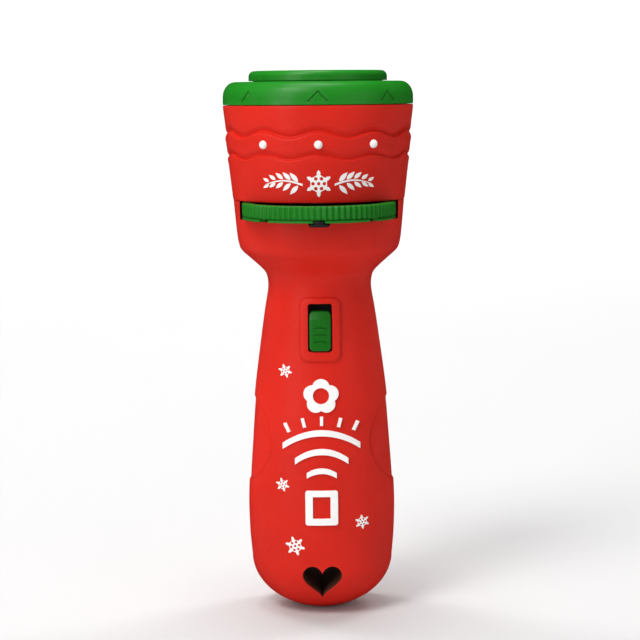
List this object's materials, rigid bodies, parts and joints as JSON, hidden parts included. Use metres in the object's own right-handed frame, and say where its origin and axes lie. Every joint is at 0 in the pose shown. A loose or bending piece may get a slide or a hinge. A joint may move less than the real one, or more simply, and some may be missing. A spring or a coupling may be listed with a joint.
{
  "type": "handheld slide projector torch",
  "caption": "Handheld toy slide projector torch: round lens head with focus ring, thumb-turned picture wheel, slide switch and heart-shaped lanyard hole.",
  "frame": {"origin": "middle of the small flat at the tip of the tail, opposite the lens", "axes": "+Z along the optical axis from the tail to the lens, -Y to the thumb switch side, +X to the right of the switch"},
  "size_m": [0.0644, 0.0713, 0.185],
  "materials": {
    "red_case": "moulded red ABS, satin",
    "red_drum": "moulded red ABS, satin",
    "red_door": "moulded red ABS, satin",
    "green_ring": "moulded green ABS, satin",
    "green_barrel": "moulded green ABS, satin",
    "green_wheel": "moulded green ABS, satin",
    "green_button": "moulded green ABS, satin",
    "black_plastic": "moulded black, matt",
    "white_plastic": "moulded white, matt",
    "clear_lens": "clear moulded acrylic, polished",
    "film": "printed transparent film",
    "steel": "zinc plated",
    "brass": "stamped brass strip",
    "board": "green solder mask",
    "led_epoxy": "clear epoxy",
    "cell_jacket": "printed shrink film, plain",
    "red_wire": "PVC insulation",
    "black_wire": "PVC insulation"
  },
  "bodies": {
    "housing": {"front_shell": "red_case", "rear_shell": "red_case", "head_drum": "red_drum", "case_screw_1": "steel", "case_screw_2": "steel", "case_screw_3": "steel", "case_screw_4": "steel", "case_screw_5": "steel", "case_screw_6": "steel", "head_screw_1": "steel", "head_screw_2": "steel", "lens_guide_tube": "white_plastic", "wheel_axle": "steel", "gate_plate": "black_plastic", "detent_spring": "black_plastic", "led_board": "board", "led": "led_epoxy", "led_resistor": "white_plastic", "light_tube": "black_plastic", "condenser_lens": "clear_lens", "board_screw_1": "steel", "board_screw_2": "steel", "switch_body": "black_plastic", "switch_screw_1": "steel", "switch_screw_2": "steel", "battery_tray": "white_plastic", "battery_cell_1": "cell_jacket", "battery_cell_2": "cell_jacket", "battery_cell_3": "cell_jacket", "battery_spring_1": "steel", "battery_spring_2": "steel", "battery_spring_3": "steel", "contact_positive": "brass", "contact_bridge_top": "brass", "contact_bridge_bottom": "brass", "contact_negative": "brass", "wire_battery_to_switch": "red_wire", "wire_switch_to_led": "red_wire", "wire_battery_to_led": "black_wire"},
    "focus_ring": {"focus_ring": "green_ring"},
    "lens_barrel": {"lens_barrel": "green_barrel", "projection_lens": "clear_lens", "lens_retainer": "black_plastic", "focus_pin_1": "steel", "focus_pin_2": "steel", "focus_pin_3": "steel"},
    "slide_wheel": {"slide_wheel": "green_wheel", "film_disc": "film", "film_cover": "black_plastic"},
    "switch_slider": {"switch_slider": "green_button", "switch_shield": "black_plastic", "switch_lever": "white_plastic"},
    "battery_door": {"battery_door": "red_door", "battery_door_screw_1": "steel", "battery_door_screw_2": "steel"}
  },
  "joints": [
    {"name": "focus_turn", "type": "hinge", "parent": "housing", "child": "focus_ring", "pos_m": [0, 0, 0.1778], "axis": [0, 0, 1], "range_deg": [0, 90]},
    {"name": "lens_slide", "type": "slide", "parent": "housing", "child": "lens_barrel", "axis": [0, 0, 1], "range_m": [0, 0.004]},
    {"name": "wheel_turn", "type": "hinge", "parent": "housing", "child": "slide_wheel", "pos_m": [0, -0.0135, 0.1388], "axis": [0, 0, 1], "continuous": true, "deforming": ["detent_spring"]},
    {"name": "switch_slide", "type": "slide", "parent": "housing", "child": "switch_slider", "axis": [0, 0, 1], "range_m": [0, 0.0025]},
    {"name": "battery_door_slide", "type": "slide", "parent": "housing", "child": "battery_door", "axis": [0, 1, 0], "range_m": [0, 0.015]}
  ],
  "couplings": [
    {"joint": "lens_slide", "follows": "focus_turn", "m_per_rad": 0.0025465}
  ]
}
